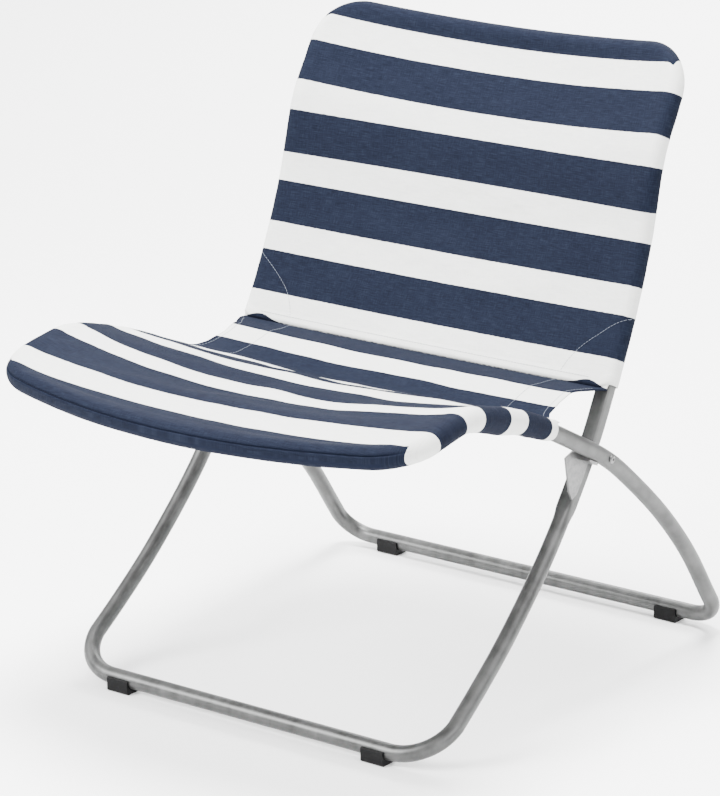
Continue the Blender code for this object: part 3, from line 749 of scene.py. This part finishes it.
def on_cloth(x, warp):
    """The point of the upper layer at x and a distance down the cloth."""
    x, warp = np.asarray(x, float), np.asarray(warp, float)
    part = (warp - START_WARP) / CREASE_WARP
    on_back = upper_layer(back, x, back.length - warp)
    on_seat = upper_layer(seat, x, warp - SEAT_WARP)
    crease = bridge_point(x, np.clip(part, 0, 1))
    return np.where((part < 0)[:, None], on_back, np.where((part > 1)[:, None], on_seat, crease))


def stitch_row(name, line, lift):
    """A row of lockstitches along (x, warp) points, lying on the upper layer."""
    line = np.array(line, float)
    along = np.r_[0, np.cumsum(np.linalg.norm(np.diff(line, axis=0), axis=1))]
    places = np.arange(0.001, along[-1] - STITCH, STITCH + STITCH_GAP)
    ends = []
    for offset in (0.0, STITCH):
        x = np.interp(places + offset, along, line[:, 0])
        warp = np.interp(places + offset, along, line[:, 1])
        ends.append(on_cloth(x, warp))
        if offset == 0.0:
            beside = on_cloth(x + 0.0012, warp) - ends[0]
            below = on_cloth(x, warp + 0.0012) - ends[0]
    normals = np.cross(beside, below)
    normals /= np.linalg.norm(normals, axis=1)[:, None]
    normals *= np.sign(normals @ (0.0, -0.5, 0.9))[:, None]
    vertices, faces = [], []
    for a, b, normal in zip(*ends, normals):
        path = a + np.outer([0, 0.2, 0.8, 1], b - a) + np.outer([-0.5, 1, 1, -0.5], normal) * THREAD_R
        rings, quads = bead(path + normal * lift, THREAD_R, 5)
        faces += [tuple(k + len(vertices) for k in quad) for quad in quads]
        vertices += list(rings)
    row = mesh_object(name, vertices, faces)
    row.data.materials.append(cream_thread)
    goes_with_cloth(row)


def smooth_line(points):
    return smooth_curve(points, 0.002)[0]


cloth, bridge_points, bridge_warp = sling()
back_mouth = on_cloth([0.0], [START_WARP])[0]
seat_mouth = on_cloth([0.0], [START_WARP + CREASE_WARP])[0]


def goes_with_cloth(thing):
    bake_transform(thing)


goes_with_cloth(cloth)
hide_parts("back_cover", "seat_cover", "sling_bridge")

for side, sign, column in (("left", -1, 0), ("right", 1, -1)):
    points, faces = bead(bridge_points[2:-2, column], 0.0012)
    rolled = mesh_object(
        f"free_edge_hem_{side}", points, faces,
        {
            "warp": np.repeat(bridge_warp[2:-2, column], 8),
            "weft": points[:, 0],
            "seam": np.zeros(len(points)),
        },
        60,
    )
    rolled.data.materials.append(cloth_material)
    goes_with_cloth(rolled)
    facing = smooth_line([(sign * x, warp) for x, warp in FACING])
    stitch_row(f"facing_stitches_{side}", facing, 0.0007)
    edge = [(sign * (x - 0.006), START_WARP + CREASE_WARP * part) for part, x in FREE_EDGE[2:-2]]
    stitch_row(f"free_edge_stitches_{side}", smooth_line(edge), 0.0007)
span = np.linspace(-0.245, 0.245, 60)
stitch_row("back_hem_stitches", [(x, back_warp(BACK_EDGE + 0.010)) for x in span], 0.0013)
stitch_row("seat_hem_stitches", [(x, SEAT_EDGE + SEAT_WARP + 0.010) for x in span * 1.06], 0.0013)

# ---- camera, light and floor ----------------------------------------------------------------------


def aim(thing, target):
    thing.rotation_euler = (Vector(target) - thing.location).to_track_quat("-Z", "Y").to_euler()


CAMERA_AZIMUTH, CAMERA_ELEVATION = math.radians(35.87), math.radians(17.18)
CAMERA_DISTANCE = 4.555
CAMERA_TARGET = (-0.0527, SHIFT, 0.318)
CAMERA_SENSOR, CAMERA_LENS = 36.0, 168.8  # mm


def camera():
    azimuth, elevation, distance = CAMERA_AZIMUTH, CAMERA_ELEVATION, CAMERA_DISTANCE
    target = Vector(CAMERA_TARGET)
    away = Vector((
        math.sin(azimuth) * math.cos(elevation), -math.cos(azimuth) * math.cos(elevation), math.sin(elevation)
    ))
    data = bpy.data.cameras.new("camera")
    data.sensor_width, data.lens = CAMERA_SENSOR, CAMERA_LENS
    made = bpy.data.objects.new("camera", data)
    bpy.context.scene.collection.objects.link(made)
    made.location = target + away * distance
    aim(made, target)
    bpy.context.scene.camera = made


SKY_DARK = 0.30
SKY_RIGHT = 1.3
SKY_TOP = 2.6


def area_light(name, location, target, size, power):
    data = bpy.data.lights.new(name, "AREA")
    data.shape, data.size, data.energy = "DISK", size, power
    made = bpy.data.objects.new(name, data)
    bpy.context.scene.collection.objects.link(made)
    made.location = location
    aim(made, target)


def sky():
    """A bright ceiling over a darker room, lighter to the right, for long soft streaks on the steel."""
    world = bpy.data.worlds.new("studio")
    world.use_nodes = True
    tree = world.node_tree
    split = tree.nodes.new("ShaderNodeSeparateXYZ")
    tree.links.new(tree.nodes.new("ShaderNodeTexCoord").outputs["Generated"], split.inputs[0])
    side, up = (tree.nodes.new("ShaderNodeMapRange") for _ in range(2))
    for node, axis, low, high in ((side, "X", -0.7, 0.9), (up, "Z", 0.05, 0.55)):
        tree.links.new(split.outputs[axis], node.inputs["Value"])
        node.inputs["From Min"].default_value, node.inputs["From Max"].default_value = low, high
    room, whole = (tree.nodes.new("ShaderNodeMix") for _ in range(2))
    for node in (room, whole):
        node.data_type = "RGBA"
    room.inputs[6].default_value = (*grey(SKY_DARK), 1)
    room.inputs[7].default_value = (*grey(SKY_RIGHT), 1)
    whole.inputs[7].default_value = (*grey(SKY_TOP), 1)
    tree.links.new(side.outputs[0], room.inputs[0])
    tree.links.new(room.outputs[2], whole.inputs[6])
    tree.links.new(up.outputs[0], whole.inputs[0])
    background = tree.nodes["Background"]
    tree.links.new(whole.outputs[2], background.inputs["Color"])
    background.inputs["Strength"].default_value = 1.0
    bpy.context.scene.world = world


def studio():
    sky()
    area_light("overhead", (-0.1, 0.1, 3.0), (0, 0, 0), 1.3, 330)
    area_light("key", (-1.8, -2.6, 2.2), (0, 0, 0.4), 1.8, 300)
    area_light("fill", (2.6, -1.4, 1.6), (0, 0, 0.35), 2.0, 70)
    area_light("backdrop", (-1.5, 4.2, 3.2), (-1.8, 3.6, 0), 2.4, 520)
    mesh = bpy.data.meshes.new("floor")
    reach = 6.0
    corners = [(-reach, -reach, 0), (reach, -reach, 0), (reach, reach, 0), (-reach, reach, 0)]
    mesh.from_pydata(corners, [], [(0, 1, 2, 3)])
    floor = bpy.data.objects.new("floor", mesh)
    bpy.context.scene.collection.objects.link(floor)
    n = Nodes("pale_floor")
    n.put(n.shader, "Base Color", (0.99, 0.99, 0.99, 1))
    n.put(n.shader, "Roughness", 0.6)
    mesh.materials.append(n.material)


camera()
studio()
